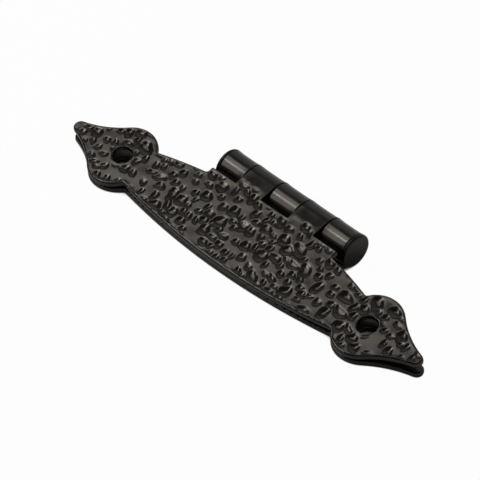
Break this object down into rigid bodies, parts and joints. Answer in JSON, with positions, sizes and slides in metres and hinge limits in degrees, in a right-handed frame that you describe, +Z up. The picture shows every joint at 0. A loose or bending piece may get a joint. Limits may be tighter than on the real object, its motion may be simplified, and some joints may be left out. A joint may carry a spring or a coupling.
{
  "type": "h hinge",
  "caption": "Surface-mounted hammered cabinet hinge with bow-shaped leaves ending in spade tips, folded back to back on a capped pin.",
  "frame": {"origin": "centre of the bounding box on the table plane, under the lower leaf's hammered face", "axes": "+X along the pin, +Y from the bow edges towards the barrel, +Z up from the table"},
  "size_m": [0.1074, 0.0275, 0.008],
  "materials": {
    "black_hammered": "gloss black over hammered sheet",
    "black_smooth": "gloss black, smooth",
    "pin_steel": "plain drawn steel"
  },
  "bodies": {
    "lower_leaf": {"lower_leaf": "black_hammered", "hinge_pin": "pin_steel", "left_end_cap": "black_smooth", "right_end_cap": "black_smooth"},
    "upper_leaf": {"upper_leaf": "black_hammered"}
  },
  "joints": [
    {"name": "leaf_swing", "type": "hinge", "parent": "lower_leaf", "child": "upper_leaf", "pos_m": [0, 0.00975, 0.004], "axis": [-1, 0, 0], "range_deg": [0, 285]}
  ]
}
